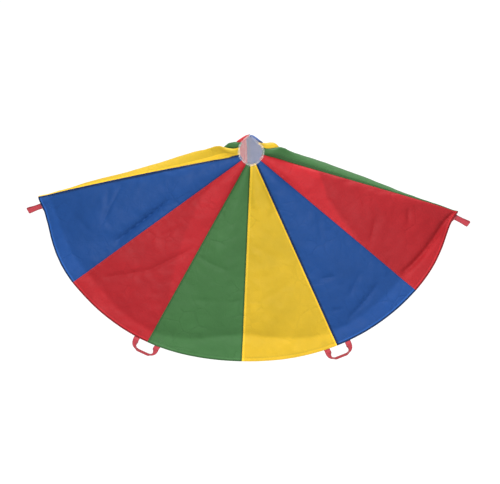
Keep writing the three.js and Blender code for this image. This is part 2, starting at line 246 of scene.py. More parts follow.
class StageSettings(bpy.types.PropertyGroup):
    """Floor, light and camera."""

    floor_drop: size_property("Floor drop", "Floor below the vent", 2200)
    camera_distance: size_property("Camera distance", "From the vent to the camera", 6500)
    camera_elevation: FloatProperty(
        name="Camera elevation", description="Camera above the vent's level", default=math.radians(30),
        subtype="ANGLE")
    lens: FloatProperty(
        name="Lens", description="Focal length in millimetres", default=112.4, unit="CAMERA")
    floor: colour_property("Floor", "#f2f2f2")


class ParachuteSettings(bpy.types.PropertyGroup):
    """All settings of the parachute."""

    canopy: PointerProperty(type=CanopySettings)
    vent: PointerProperty(type=VentSettings)
    handle: PointerProperty(type=HandleSettings)
    thread: PointerProperty(type=ThreadSettings)
    stage: PointerProperty(type=StageSettings)


# Shape of the canopy. Places are counted in gores round from the left tip, so seam 3 is at 3, and in
# shares of the way down from the vent, so the hem's edge is at 1.


def hem_curve(turn):
    """Points of the hem's edge, a turn of 0 to 1 round from the left tip."""
    bearing = FIRST_SEAM + 2 * math.pi * turn
    rounding = RIDGE_ROUNDING / HALF_DEPTH
    droop = np.hypot(np.sin(bearing), rounding) - rounding
    full_droop = math.hypot(1, rounding) - rounding
    x = HALF_SPAN * np.cos(bearing)
    y = HALF_DEPTH * np.sin(bearing)
    z = -TIP_DROP - SKIRT_DROP * droop / full_droop
    c, s = math.cos(RIDGE_TURN), math.sin(RIDGE_TURN)
    return np.stack([x * c - y * s + SIDE_SHIFT, x * s + y * c, z], -1)


HEM_TURNS = np.linspace(0, 1, HEM_DIVISIONS + 1)
HEM_STEPS = np.linalg.norm(np.diff(hem_curve(HEM_TURNS), axis=0), axis=1)
HEM_LENGTHS = np.concatenate([[0], np.cumsum(HEM_STEPS)])
GORE_WIDTH = HEM_LENGTHS[-1] / GORE_COUNT  # at the hem


def hem_at(gores, folded_share=1.0):
    """Points of the hem's edge at places counted in gores, which are equal lengths of that ring."""
    place = np.mod(gores, GORE_COUNT)
    point = hem_curve(np.interp(place / GORE_COUNT * HEM_LENGTHS[-1], HEM_LENGTHS, HEM_TURNS))
    longer = by_seam(place, SEAM_TRIMS)
    for seam, out, up in TIP_CORNERS:
        apart = np.abs(place - seam)
        aside = np.minimum(apart, GORE_COUNT - apart) * GORE_WIDTH
        pull = np.exp((CORNER_ROUNDING - np.hypot(aside, CORNER_ROUNDING)) / CORNER_REACH)
        tip = hem_curve(seam / GORE_COUNT)
        folded = folded_share * np.exp(-((aside / TIP_FOLD_REACH) ** 2))
        beside = 2 * TIP_FOLD_RADIUS * np.arctan(np.tanh(aside / TIP_FOLD_RADIUS / 2))
        below = TIP_FOLD_RADIUS * np.log(np.cosh(aside / TIP_FOLD_RADIUS))
        beside = tip[1] + beside * np.sign(point[..., 1] - tip[1])
        point[..., 1] += (beside - point[..., 1]) * folded
        point[..., 2] += (tip[2] - below - point[..., 2]) * folded + up * pull
        longer = longer + out * pull
    down = point - rim_at(gores)
    return point + down * (longer / np.linalg.norm(down, axis=-1))[..., None]


def vent_plane(x, y, z):
    """Points of the vent's own frame, where z stands out of the net, in the object's frame."""
    c, s = math.cos(VENT_TILT), math.sin(VENT_TILT)
    return np.stack([x, y * c - z * s, y * s + z * c], -1)


def rim_pull(gores):
    """How far the rim is drawn across and up in its plane."""
    place = np.mod(gores, GORE_COUNT)
    return np.interp(place, PULLED_SEAMS, PULLS_ACROSS), np.interp(place, PULLED_SEAMS, PULLS_UP)


def rim_at(gores, inset=0.0, level=-VENT_SEAT):
    """Points of the vent's rim, or of a ring that far inside it."""
    turn = np.asarray(gores) * 2 * math.pi / GORE_COUNT
    angle = FIRST_SEAM + turn + VENT_GATHER * np.cos(turn)
    across, up = rim_pull(gores)
    radius = VENT_RADIUS - inset
    return vent_plane(radius * np.cos(angle) + across, radius * np.sin(angle) + up, level + 0 * angle)


def seam_length(gores):
    return np.linalg.norm(hem_at(gores) - rim_at(gores), axis=-1)


def taut_at(gores, share):
    hem = hem_at(gores, np.minimum(share, 1) ** TIP_FOLD_FADE)
    return rim_at(gores) * (1 - share)[..., None] + hem * share[..., None]


def gore_width(gores, share):
    """Width of a gore, measured round the canopy."""
    middle = taut_at(gores, share)
    steps = [np.linalg.norm(taut_at(gores + step, share) - middle, axis=-1) for step in (-NUDGE, NUDGE)]
    return (steps[0] + steps[1]) / (2 * NUDGE)


def outwards(gores, share):
    down = hem_at(gores) - rim_at(gores)
    round_it = taut_at(gores + NUDGE, share) - taut_at(gores - NUDGE, share)
    return unit(np.cross(down, round_it))


def unit(vectors):
    return vectors / np.linalg.norm(vectors, axis=-1, keepdims=True)


def smooth(x):
    x = np.clip(x, 0, 1)
    return x * x * (3 - 2 * x)


def by_seam(gores, values):
    """A value given at each seam, run smoothly round the canopy."""
    values = np.asarray(values)
    place = np.mod(gores, GORE_COUNT)
    seam = np.floor(place).astype(int) % GORE_COUNT
    step = smooth(place - np.floor(place))
    return values[seam] * (1 - step) + values[(seam + 1) % GORE_COUNT] * step


LATTICE_SIZE = 64
LATTICE_SEED = 11
LATTICE = np.random.default_rng(LATTICE_SEED).uniform(-1, 1, (LATTICE_SIZE, LATTICE_SIZE))


def unevenness(x, y):
    """Smooth random heights from -1 to 1, one swell for each unit of x and y."""
    column, row = np.floor(x).astype(int), np.floor(y).astype(int)
    across, along = smooth(x - column), smooth(y - row)
    near, far = (
        LATTICE[(column + i) % LATTICE_SIZE, row % LATTICE_SIZE] * (1 - along)
        + LATTICE[(column + i) % LATTICE_SIZE, (row + 1) % LATTICE_SIZE] * along for i in (0, 1))
    return near * (1 - across) + far * across


def back_creases():
    """Creases of the gores that face away, laid at random from one seed."""
    random = np.random.default_rng(BACK_CREASE_SEED)
    for gore in range(GORE_COUNT // 2 + 1, GORE_COUNT - 1):
        for _ in range(BACK_CREASES_PER_GORE):
            start = random.uniform(*BACK_STARTS)
            end = np.clip(start + random.uniform(*BACK_RUNS), *BACK_LIMITS)
            depth, width = random.uniform(*BACK_DEPTHS), random.uniform(*BACK_WIDTHS)
            yield gore + start[0], start[1], gore + end[0], end[1], depth, width


ALL_CREASES = [(*crease, CREASE_POWER) for crease in (*CREASES, *back_creases())]
ALL_CREASES += [(*fold, SHARP_POWER) for fold in SHARP_FOLDS]


def flat_cut(gore, gores, share):
    """Places of a gore in its flat cut: across from its middle and down from the vent."""
    width = 2 * math.pi * VENT_RADIUS / GORE_COUNT * (1 - share) + GORE_WIDTH * share
    return np.array([(gores - gore - 0.5) * width, share * seam_length(gore + 0.5)])


def crease_depth(gore, places):
    """Depth of one gore's creases at places in its flat cut."""
    depth = np.zeros_like(places[0])
    for from_gore, from_share, to_gore, to_share, deep, wide, power in ALL_CREASES:
        if math.floor(min(from_gore, to_gore)) != gore:
            continue
        start, end = flat_cut(gore, from_gore, from_share), flat_cut(gore, to_gore, to_share)
        run = end - start
        x, y = places[0] - start[0], places[1] - start[1]
        along = np.clip((x * run[0] + y * run[1]) / (run @ run), 0, 1)
        away = np.hypot(x - along * run[0], y - along * run[1])
        profile = np.exp(-((away / (wide * MM)) ** power))
        depth += deep * MM * profile * (1 - CREASE_END * np.abs(2 * along - 1) ** 3)
    return depth


class Cloth:
    """The canopy's surface as it hangs, with its swell, folds, gathers and creases."""

    EDGE_FADE = 22 * MM  # creases and crumple die out this far from a seam
    GATHER_REACH = 26 * MM  # how far the gathers run from a seam or the hem
    TIP_GATHER, HEM_GATHER = 0.15, 0.7  # their height at the tips' seams and along the hem
    SEAM_PHASE = 2.4  # how far the gathers of one seam are out of step with the last one's
    SEAM_BEAT, HEM_BEAT = 0.31, 0.23  # slower waves in their height
    HEM_RATE = 0.8  # gathers of the hem for each of a seam's
    COARSE, FINE = 130 * MM, 36 * MM  # sizes of the crumple
    FINE_SHARE = 0.35  # height of the fine crumple against the coarse
    RIDGE_SHARE = 0.35  # how much of it is left where the ridge pulls the cloth straight

    def __init__(self, canopy):
        self.canopy = canopy

    def slack(self, gores, share, gore):
        canopy = self.canopy
        u = gores - gore
        length = seam_length(gores)
        reach = (1 - share) * length
        width = gore_width(gores, share)
        from_seam = np.minimum(np.abs(u), np.abs(1 - u)) * width
        inside = smooth(from_seam / self.EDGE_FADE) * smooth(share * length / self.EDGE_FADE)

        fullness = RIDGE_SWELLS.get(gore, canopy.swell)
        inner = np.clip(u, 0, 1)
        swell = fullness * 4 * inner * (1 - inner) * np.sin(math.pi * np.clip(share, 0, 1) ** SWELL_RISE)
        for place, at, height, wide, long in SHOULDERS:
            apart = ((gores - place) / wide) ** 2 + ((share - at) / long) ** 2
            swell += height * np.exp(-apart) * smooth(share / at)

        from_fold = np.hypot(reach - by_seam(gores, FOLD_REACHES), FOLD_ROUNDING) - FOLD_ROUNDING
        fold = by_seam(gores, FOLD_DEPTHS) * np.exp(-from_fold / FOLD_WIDTH)

        turn = 2 * math.pi / canopy.pucker_pitch * reach
        seam = np.round(gores)
        gather = np.exp(-((from_seam / self.GATHER_REACH) ** 2)) * np.sin(turn + self.SEAM_PHASE * seam)
        gather *= 0.6 + 0.4 * np.sin(self.SEAM_BEAT * turn + seam)
        gather *= smooth(share * length / self.GATHER_REACH)
        gather *= np.where(seam % (GORE_COUNT // 2) == 0, self.TIP_GATHER, 1)
        turn = 2 * math.pi / canopy.pucker_pitch * gores * GORE_WIDTH
        hem_gather = np.exp(-((reach / self.GATHER_REACH) ** 2)) * np.sin(self.HEM_RATE * turn)
        hem_gather *= 0.6 + 0.4 * np.sin(self.HEM_BEAT * turn)

        places = flat_cut(gore, gores, share)
        crease = crease_depth(gore, places)
        across, down = places / self.COARSE
        crumple = unevenness(across + 17 * gore, down)
        across, down = places / self.FINE
        crumple += self.FINE_SHARE * unevenness(across + 5 * gore, down + 31)
        crumple += self.FINE_SHARE * unevenness(across + down + 9 * gore, down - across + 3)

        height = canopy.crumple * (self.RIDGE_SHARE if gore in RIDGE_SWELLS else 1)
        uneven = inside * (height * crumple - crease)
        return swell - fold + canopy.pucker * (gather + self.HEM_GATHER * hem_gather) + uneven

    def point(self, gores, share, level, gore):
        """Points of the cloth of a gore, at a height over its middle."""
        gores, share = np.broadcast_arrays(np.asarray(gores, float), np.asarray(share, float))
        lift = self.slack(gores, share, gore) + level
        return taut_at(gores, share) + outwards(gores, share) * lift[..., None]

    def above_hem(self, gores, reach, level, gore):
        """The same at a distance from the hem's edge."""
        return self.point(gores, 1 - reach / seam_length(gores), level, gore)


def new_object(name, mesh):
    made = bpy.data.objects.new(name, mesh)
    bpy.context.scene.collection.objects.link(made)
    return made


def cut_mesh(name, points, faces, places, corner):
    """A smooth mesh that keeps each point's place in the flat cut as its UV map."""
    mesh = bpy.data.meshes.new(name)
    mesh.from_pydata(points.reshape(-1, 3).tolist(), [], faces)
    order = np.zeros(len(mesh.loops), np.int32)
    mesh.loops.foreach_get("vertex_index", order)
    places = places.reshape(-1, 2)[order].astype(np.float32)
    mesh.uv_layers.new(name="Cut").uv.foreach_set("vector", places.ravel())
    mesh.shade_smooth()
    mesh.set_sharp_from_angle(angle=corner)
    return mesh


def sheet_mesh(name, middle, thickness, uv, painted_shading):
    """A closed sheet with a grid of points down its middle: rows run down, columns run round."""
    normal = unit(np.cross(np.gradient(middle, axis=0), np.gradient(middle, axis=1)))
    points = np.stack([middle + normal * thickness / 2, middle - normal * thickness / 2])
    top, under = np.arange(2 * painted_shading.size).reshape(2, *painted_shading.shape)
    faces = np.concatenate([np.stack(corners, -1).reshape(-1, 4) for corners in (
        (top[:-1, :-1], top[1:, :-1], top[1:, 1:], top[:-1, 1:]),
        (under[:-1, :-1], under[:-1, 1:], under[1:, 1:], under[1:, :-1]),
        (top[1:, 0], top[:-1, 0], under[:-1, 0], under[1:, 0]),
        (top[:-1, -1], top[1:, -1], under[1:, -1], under[:-1, -1]),
        (top[0, :-1], top[0, 1:], under[0, 1:], under[0, :-1]),
        (top[-1, 1:], top[-1, :-1], under[-1, :-1], under[-1, 1:]),
    )])
    mesh = cut_mesh(name, points, faces.tolist(), np.stack([uv, uv]), CLOTH_CORNER)
    # The painted light and shade of each point, kept on the mesh for the material.
    shade = mesh.attributes.new("painted_shading", "FLOAT", "POINT")
    shade.data.foreach_set("value", np.stack([painted_shading, painted_shading]).astype(np.float32).ravel())
    return mesh


class GorePattern:
    """Rows and columns of a gore: a turned edge on one seam, a lap under the next, and the hem."""

    BODY_ROWS, BEND_ROWS, TUCK_ROWS = 140, 9, 6
    BODY_COLUMNS = 60
    TURN = 8 * MM  # edge folded under along the near seam
    RISE = 0.45 * MM  # half the height of that fold
    DIVE = 0.95 * MM  # the lap below its neighbour
    NEAR, FAR = 13 * MM, 6.5 * MM  # where the plain cloth starts and ends
    HEM_START = 24 * MM
    PRESSED = 0.35  # folds are pressed this flat in the hem and under the net
    HIDDEN_SHORT = 2 * MM  # hidden layers end this far short of the hem's edge
    # Hidden layers are painted darker, a painted shade for the light they would block.
    HIDDEN_PAINTED_SHADE = 0.9

    # Painted shade and painted highlight, by colour: how much darker or brighter the cloth is painted along its
    # near and far seam, where the folded edge would shade or catch light, and at the hem's rim and crest, where
    # the rolled edge would shade or catch light.
    SEAM_PAINTED_SHADING = {"blue": (0.3, 0.9), "red": (1.06, 0.95), "green": (0.7, 0.65), "yellow": (1.3, 1.3)}
    HEM_PAINTED_SHADING = {"blue": (0.35, 1.5), "red": (0.55, 1.3), "green": (0.75, 1.2), "yellow": (1.1, 1.15)}

    def __init__(self, canopy):
        self.canopy = canopy

    def columns(self, edge, far_edge):
        """(share of the gore, distance past that, level, hidden, painted shading) of each column; edge and
        far_edge are the painted shade or painted highlight along the near and far seam, and hidden layers get
        painted shade.
        """
        lap, rise, dive = self.canopy.seam_lap, self.RISE, self.DIVE
        turn, painted_shade = self.TURN, self.HIDDEN_PAINTED_SHADE
        near = [(0, past, -rise, 1, painted_shade) for past in (turn, turn / 2, 0.5 * MM)]
        near += [(0, 0, 0, 0, edge), (0, 0.5 * MM, rise, 0, edge), (0, 4.5 * MM, rise, 0, edge),
                 (0, lap - 1 * MM, rise, 0, (1 + edge) / 2), (0, lap + 1 * MM, rise / 2, 0, 0.99)]
        body = [(t, self.NEAR * (1 - t) - self.FAR * t, 0, 0, 1)
                for t in np.linspace(0, 1, self.BODY_COLUMNS)]
        far = [(1, -6.3 * MM, 0, 0, far_edge), (1, -1.5 * MM, -dive / 2, 0, far_edge),
               (1, 0, -dive, 1, far_edge), (1, lap / 2, -dive, 1, painted_shade), (1, lap, -dive, 1, painted_shade)]
        return near + body + far

    def rows(self, rim, crest):
        """(kind, share of the seam, distance past that, level, pressing, painted shading) of each row; rim and
        crest are the painted shade or painted highlight of the hem's rolled edge, hidden layers get painted shade,
        and the rows by the vent are painted a little darker.
        """
        width, roll, painted_shade = self.canopy.hem_width, self.canopy.hem_roll, self.HIDDEN_PAINTED_SHADE
        vent = [("vent", 0, inset, 0, self.PRESSED, 0.95) for inset in (VENT_LAP, 6 * MM, 3 * MM, 1 * MM)]
        start = [("cloth", 0, at, 0, 0.6, 0.95) for at in (1 * MM, 3 * MM)]
        body = [("cloth", t, 6 * MM * (1 - t) - self.HEM_START * t, 0, 1, 1)
                for t in np.linspace(0, 1, self.BODY_ROWS)]
        hem = [(width + 1 * MM, 0, 1.0), (width - 1 * MM, 0, 0.97), (13 * MM, 0, 1.0)]
        hem += [(reach * MM, 0, crest) for reach in (11.5, 7.5)]
        hem += [(reach * MM, 0, rim) for reach in (6, 3, 1.6)]
        hem += [(roll * (1 - math.cos(a)), roll * (math.sin(a) - 1), rim)
                for a in np.linspace(math.pi / 2, -math.pi / 2, self.BEND_ROWS)]
        hem += [(reach * MM, -2 * roll, painted_shade) for reach in (2, 5, 9, 13, 16)]
        hem += [(width + roll / 2 * math.cos(a), roll / 2 * (math.sin(a) - 3), painted_shade)
                for a in np.linspace(-math.pi / 2, math.pi / 2, self.TUCK_ROWS)]
        hem.append((width - 3 * MM, -roll, painted_shade))
        hem = [("hem", 1, reach, level, self.PRESSED, painted_shading) for reach, level, painted_shading in hem]
        return vent + start + body + hem

    def mesh(self, name, gore, cloth):
        colour = gore_colour(gore)
        columns, rows = self.columns(*self.SEAM_PAINTED_SHADING[colour]), self.rows(*self.HEM_PAINTED_SHADING[colour])
        share_across, past, level, hidden, column_painted_shading = (np.array(c, float) for c in zip(*columns))
        middle = np.zeros((len(rows), len(columns), 3))
        uv = np.zeros((len(rows), len(columns), 2))
        painted_shading = np.zeros((len(rows), len(columns)))
        vent_normal = vent_plane(0.0, 0.0, 1.0)
        for i, (kind, share, distance, lift, pressing, row_painted_shading) in enumerate(rows):
            seam = gore + share_across
            length = seam_length(seam)
            if kind == "vent":
                width = 2 * math.pi * (VENT_RADIUS - distance) / GORE_COUNT + 0 * seam
                gores = seam + past / width
                middle[i] = rim_at(gores, distance) + vent_normal * (level * pressing)[:, None]
                along = -distance + 0 * seam
            else:
                reach = distance + self.HIDDEN_SHORT * hidden
                run = 1 - reach / length if kind == "hem" else share + distance / length
                width = gore_width(seam, run)
                gores = seam + past / width
                height = lift + level * pressing
                middle[i] = cloth.point(gores, run, height, gore)
                lap = gores > gore + 1
                after = (gore + 1) % GORE_COUNT
                middle[i, lap] = cloth.point(gores[lap] - gore - 1 + after, run[lap], height[lap], after)
                along = run * length
            uv[i] = np.stack([(share_across - 0.5) * width + past, along], -1)
            # Painted light and shade: the seams' and hem's painted shading times the painted light.
            painted_shading[i] = column_painted_shading * row_painted_shading * self.painted_light(gore, gores, share if kind == "vent" else run)
        return sheet_mesh(name, middle, self.canopy.thickness, uv, painted_shading)

    def painted_light(self, gore, gores, share):
        """Painted light: how much brighter the cloth is painted below its fold, and where light would come through
        from behind.
        """
        below = by_seam(gores, FOLD_REACHES) - (1 - share) * seam_length(gores)
        bright = 1 + HEM_PAINTED_LIGHT * smooth(0.5 + below / LIT_EDGE)
        if gore in PAINTED_LIGHT_PARTS:
            shares, places, side, brighter = PAINTED_LIGHT_PARTS[gore]
            inside = side * (gores - gore - np.interp(share, shares, places))
            wide = GORE_WIDTH * np.maximum(share, LIT_NARROWEST)
            bright += brighter * smooth(0.5 + inside * wide / LIT_EDGE)
        return bright

    def cut(self, gore):
        """Width, length and area of the flat piece."""
        middle = np.array([gore + 0.5])
        allowance = self.TURN + self.canopy.seam_lap
        wide = float(GORE_WIDTH + allowance)
        narrow = 2 * math.pi * (VENT_RADIUS - VENT_LAP) / GORE_COUNT + allowance
        length = float(seam_length(middle)[0]) + VENT_LAP + self.canopy.hem_width
        return wide, length, (wide + narrow) / 2 * length


def fill(node, inputs):
    """Sets or links a node's inputs. A node given as a value stands for its first output."""
    for socket, value in inputs.items():
        if isinstance(value, bpy.types.Node):
            value = value.outputs[0]
        if isinstance(value, bpy.types.NodeSocket):
            node.id_data.links.new(value, node.inputs[socket])
        else:
            node.inputs[socket].default_value = value


def add_node(tree, kind, inputs=None, **settings):
    """Adds a node with its settings and its inputs."""
    node = tree.nodes.new(kind)
    for name, value in settings.items():
        setattr(node, name, value)
    fill(node, inputs or {})
    return node


def any_ray(add, *kinds):
    """What is 1 for rays of any of these kinds and 0 for others."""
    path = add("ShaderNodeLightPath")
    seen = 0.0
    for kind in kinds:
        seen = add("ShaderNodeMath", {0: path.outputs[f"Is {kind} Ray"], 1: seen}, operation="MAXIMUM")
    return seen


def new_material(name):
    """A material, what adds nodes to it, its Principled shader and its output."""
    material = bpy.data.materials.new(name)
    material.use_nodes = True
    tree = material.node_tree
    return material, partial(add_node, tree), tree.nodes["Principled BSDF"], tree.nodes["Material Output"]


WAVE = 2 * math.pi / 20  # a wave texture repeats each 2 pi / 20 of its scale
THREAD_SPACING = 1.1 * MM  # taffeta has about 0.12 mm, drawn coarser so that the weave shows close up
CRINKLE_SIZE = 24 * MM
CREASE_SIZE = 70 * MM
MOTTLE_SIZE = 150 * MM
THINNESS = 0.4  # share of the light that passes one layer of the cloth
FIBRE_SIZE = 0.4 * MM
RIB_PITCH = 2.2 * MM  # webbing has ribs of about 1.1 mm, drawn coarser so that they show
TWIST_PITCH = 0.5 * MM
GRAIN_SIZE = 3 * MM
PAPER_SHARE = 0.9  # how much of the floor the camera sees as plain white
PAPER_STRENGTH = 1.08


def nylon_taffeta(name, colour):
    """Plain-woven nylon, calendered: a fine even weave with a soft sheen and small crinkles, with painted shade in
    its creases and the painted light and shade of the cloth's points.
    """
    material, add, shader, output = new_material(name)
    place = add("ShaderNodeTexCoord").outputs["Object"]
    cut = add("ShaderNodeUVMap", uv_map="Cut")

    mottle = add("ShaderNodeTexNoise", {
        "Vector": place, "Scale": 1 / MOTTLE_SIZE, "Detail": 5.0, "Roughness": 0.6})
    shade = add("ShaderNodeMapRange", {
        "Value": mottle, "From Min": 0.3, "From Max": 0.7, "To Min": 0.93, "To Max": 1.07})
    bent = add("ShaderNodeVectorMath", {
        0: mottle.outputs["Color"], 1: (0.5 * CREASE_SIZE,) * 3, 2: place}, operation="MULTIPLY_ADD")
    net = add("ShaderNodeTexVoronoi", {
        "Vector": bent, "Scale": 1 / CREASE_SIZE}, feature="DISTANCE_TO_EDGE")
    line = add("ShaderNodeMapRange", {"Value": net, "From Max": 0.07, "To Min": 1.0, "To Max": 0.0})
    patch = add("ShaderNodeMapRange", {"Value": mottle, "From Min": 0.48, "From Max": 0.6})
    crease = add("ShaderNodeMath", {0: line, 1: patch}, operation="MULTIPLY")
    # Painted shade: the colour is darkened along the crease lines.
    painted_shade = add("ShaderNodeMapRange", {"Value": crease, "To Min": 1.0, "To Max": 0.94})
    # The painted light and shade kept on the cloth's points.
    painted_shading = add("ShaderNodeAttribute", attribute_name="painted_shading")
    value = add("ShaderNodeMath", {0: shade, 1: painted_shading.outputs["Fac"]}, operation="MULTIPLY")
    value = add("ShaderNodeMath", {0: value, 1: painted_shade}, operation="MULTIPLY")
    tint = add("ShaderNodeHueSaturation", {"Value": value, "Color": (*colour, 1)})

    warp, weft = (add("ShaderNodeTexWave", {
        "Vector": cut, "Scale": WAVE / THREAD_SPACING}, bands_direction=d).outputs["Fac"] for d in "XY")
    weave = add("ShaderNodeMath", {0: warp, 1: weft}, operation="MULTIPLY")
    crinkle = add("ShaderNodeTexNoise", {
        "Vector": place, "Scale": 1 / CRINKLE_SIZE, "Detail": 3.0, "Distortion": 0.6})
    bump = add("ShaderNodeBump", {"Height": weave, "Strength": 0.12, "Distance": 0.1 * MM})
    bump = add("ShaderNodeBump", {
        "Height": crease, "Strength": 0.6, "Distance": 1.5 * MM, "Normal": bump}, invert=True)
    bump = add("ShaderNodeBump", {
        "Height": crinkle, "Strength": 0.5, "Distance": 3 * MM, "Normal": bump})
    gloss = add("ShaderNodeMapRange", {"Value": crinkle, "To Min": 0.48, "To Max": 0.62})
    fill(shader, {
        "Base Color": tint, "Normal": bump, "Roughness": gloss, "IOR": 1.53, "Specular IOR Level": 0.14,
        "Sheen Weight": 0.03, "Sheen Roughness": 0.4})
    glow = add("ShaderNodeBsdfTranslucent", {"Color": tint, "Normal": bump})
    thin = add("ShaderNodeMixShader", {0: THINNESS, 1: shader, 2: glow})
    fill(output, {"Surface": thin})
    return material


def polyester_net(name, colour):
    """Knitted polyester netting: matt white strands with a faint gloss along them."""
    material, add, shader, _ = new_material(name)
    place = add("ShaderNodeTexCoord").outputs["Object"]
    fibre = add("ShaderNodeTexNoise", {"Vector": place, "Scale": 1 / FIBRE_SIZE, "Detail": 2.0})
    shade = add("ShaderNodeMapRange", {"Value": fibre, "To Min": 0.9, "To Max": 1.05})
    tint = add("ShaderNodeHueSaturation", {"Value": shade, "Color": (*colour, 1)})
    bump = add("ShaderNodeBump", {"Height": fibre, "Strength": 0.3, "Distance": 0.1 * MM})
    fill(shader, {"Base Color": tint, "Normal": bump, "Roughness": 0.6, "IOR": 1.57})
    return material


def nylon_webbing(name, colour, width):
    """Flat woven webbing: ribs across the strap, a little paler in its middle and darker towards its edges."""
    material, add, shader, _ = new_material(name)
    cut = add("ShaderNodeUVMap", uv_map="Cut")
    across = add("ShaderNodeSeparateXYZ", {"Vector": cut})
    aside = add("ShaderNodeMath", {0: across}, operation="ABSOLUTE")
    edge = add("ShaderNodeMapRange", {
        "Value": aside, "From Min": 0.3 * width, "From Max": 0.5 * width, "To Min": 1.06, "To Max": 0.62},
        interpolation_type="SMOOTHSTEP")
    ribs = add("ShaderNodeTexWave", {"Vector": cut, "Scale": WAVE / RIB_PITCH}, bands_direction="Y")
    twill = add("ShaderNodeTexWave", {
        "Vector": cut, "Scale": WAVE / RIB_PITCH, "Distortion": 0.4}, bands_direction="DIAGONAL")
    weave = add("ShaderNodeMath", {0: ribs.outputs["Fac"], 1: twill.outputs["Fac"]}, operation="ADD")
    shade = add("ShaderNodeMapRange", {"Value": weave, "From Max": 2.0, "To Min": 0.86, "To Max": 1.08})
    value = add("ShaderNodeMath", {0: edge, 1: shade}, operation="MULTIPLY")
    tint = add("ShaderNodeHueSaturation", {"Value": value, "Color": (*colour, 1)})
    bump = add("ShaderNodeBump", {"Height": weave, "Strength": 0.6, "Distance": 0.25 * MM})
    fill(shader, {
        "Base Color": tint, "Normal": bump, "Roughness": 0.7, "IOR": 1.53, "Sheen Weight": 0.2})
    return material


def polyester_thread(name, colour):
    """Spun polyester thread, painted a little brighter than the cloth as a painted sheen, with its twist as fine
    slanting lines.
    """
    material, add, shader, _ = new_material(name)
    place = add("ShaderNodeTexCoord").outputs["Object"]
    twist = add("ShaderNodeTexWave", {
        "Vector": place, "Scale": WAVE / TWIST_PITCH}, bands_direction="DIAGONAL")
    # Painted sheen: the thread's colour is lifted along its twist lines.
    shade = add("ShaderNodeMapRange", {"Value": twist.outputs["Fac"], "To Min": 1.0, "To Max": 1.25})
    tint = add("ShaderNodeHueSaturation", {"Value": shade, "Color": (*colour, 1)})
    fill(shader, {"Base Color": tint, "Roughness": 0.5, "IOR": 1.57})
    return material


def white_floor(name, colour):
    """A matt white floor that the camera sees as white paper, with the shadow left on it."""
    material, add, shader, output = new_material(name)
    grain = add("ShaderNodeTexNoise", {"Scale": 1 / GRAIN_SIZE})
    bump = add("ShaderNodeBump", {"Height": grain, "Strength": 0.05, "Distance": 0.1 * MM})
    fill(shader, {"Base Color": (*colour, 1), "Roughness": 0.9, "Normal": bump})
    seen = any_ray(add, "Camera", "Glossy", "Transmission")
    share = add("ShaderNodeMath", {0: seen, 1: PAPER_SHARE}, operation="MULTIPLY")
    paper = add("ShaderNodeEmission", {"Color": (1, 1, 1, 1), "Strength": PAPER_STRENGTH})
    mixed = add("ShaderNodeMixShader", {0: share, 1: shader, 2: paper})
    fill(output, {"Surface": mixed})
    return material


def node_tree(name, sockets):
    """A geometry tree with named inputs, what adds nodes to it, and what its inputs give."""
    tree = bpy.data.node_groups.new(name, "GeometryNodeTree")
    for socket_name, kind in (("Geometry", "Geometry"), *sockets):
        tree.interface.new_socket(socket_name, in_out="INPUT", socket_type=f"NodeSocket{kind}")
    tree.interface.new_socket("Geometry", in_out="OUTPUT", socket_type="NodeSocketGeometry")
    add = partial(add_node, tree)
    return tree, add, add("NodeGroupInput").outputs


def end_tree(add, made, material):
    """Ends a geometry tree: instances made real and given their material."""
    real = add("GeometryNodeRealizeInstances", {"Geometry": made})
    dressed = add("GeometryNodeSetMaterial", {"Geometry": real, "Material": material})
    add("NodeGroupOutput", {"Geometry": dressed})


def through_tree(name, mesh, tree, values):
    """The plain mesh that a geometry tree makes of a mesh with these values of its named inputs."""
    source = new_object(name, mesh)
    modifier = source.modifiers.new(tree.name, "NODES")
    modifier.node_group = tree
    sockets = {s.name: s.identifier for s in tree.interface.items_tree if s.in_out == "INPUT"}
    for socket, value in values.items():
        modifier[sockets[socket]] = value
    graph = bpy.context.evaluated_depsgraph_get()
    made = bpy.data.meshes.new_from_object(source.evaluated_get(graph), depsgraph=graph)
    source.modifiers.remove(modifier)
    bpy.data.objects.remove(source)
    return made


def stitch_tree():
    """Stitches laid end to end along lines: each is a slim rounded length of thread."""
    tree, add, given = node_tree("Stitches", (
        ("Pitch", "Float"), ("Length", "Float"), ("Diameter", "Float"), ("Thread", "Material")))
    line = add("GeometryNodeMeshToCurve", {"Mesh": given["Geometry"]})
    points = add("GeometryNodeCurveToPoints", {"Curve": line, "Length": given["Pitch"]}, mode="LENGTH")
    bead = add("GeometryNodeMeshUVSphere", {"Segments": 5, "Rings": 4, "Radius": 0.5})
    soft = add("GeometryNodeSetShadeSmooth", {"Geometry": bead})
    size = add("ShaderNodeCombineXYZ", {
        "X": given["Diameter"], "Y": given["Diameter"], "Z": given["Length"]})
    laid = add("GeometryNodeInstanceOnPoints", {
        "Points": points, "Instance": soft, "Rotation": points.outputs["Rotation"], "Scale": size})
    end_tree(add, laid, given["Thread"])
    return tree


